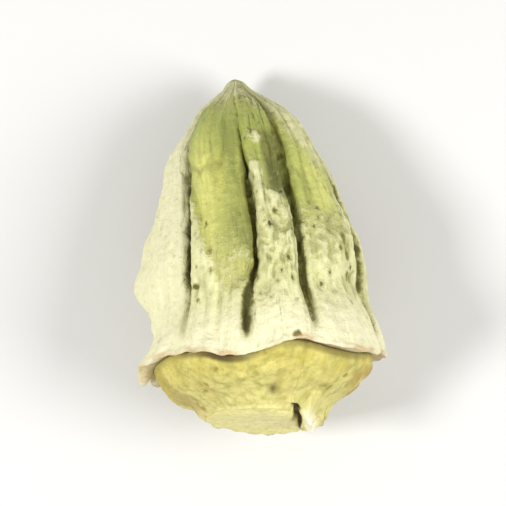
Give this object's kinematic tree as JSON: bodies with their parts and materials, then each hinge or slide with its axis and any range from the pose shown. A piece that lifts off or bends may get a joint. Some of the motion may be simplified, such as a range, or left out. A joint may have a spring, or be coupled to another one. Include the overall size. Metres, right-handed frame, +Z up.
{
  "type": "okra pod",
  "caption": "A dried okra pod lying on its side: a ribbed tapering body with a pointed tip, a thin wavy flared lip, and a yellow cap ending in a trimmed stalk.",
  "frame": {"origin": "the middle of the foot of the bounding box, on the surface the pod lies on", "axes": "+Z up; the pod's axis runs along Y, with the tip at +Y and the trimmed stalk at -Y; +X is the pod's right side seen from above with the tip away from the viewer"},
  "size_m": [0.0182, 0.0268, 0.0179],
  "materials": {
    "pod_skin": "matte",
    "cap_skin": "matte"
  },
  "bodies": {
    "root": {"pod_body": "pod_skin", "stalk_cap": "cap_skin"}
  },
  "joints": []
}
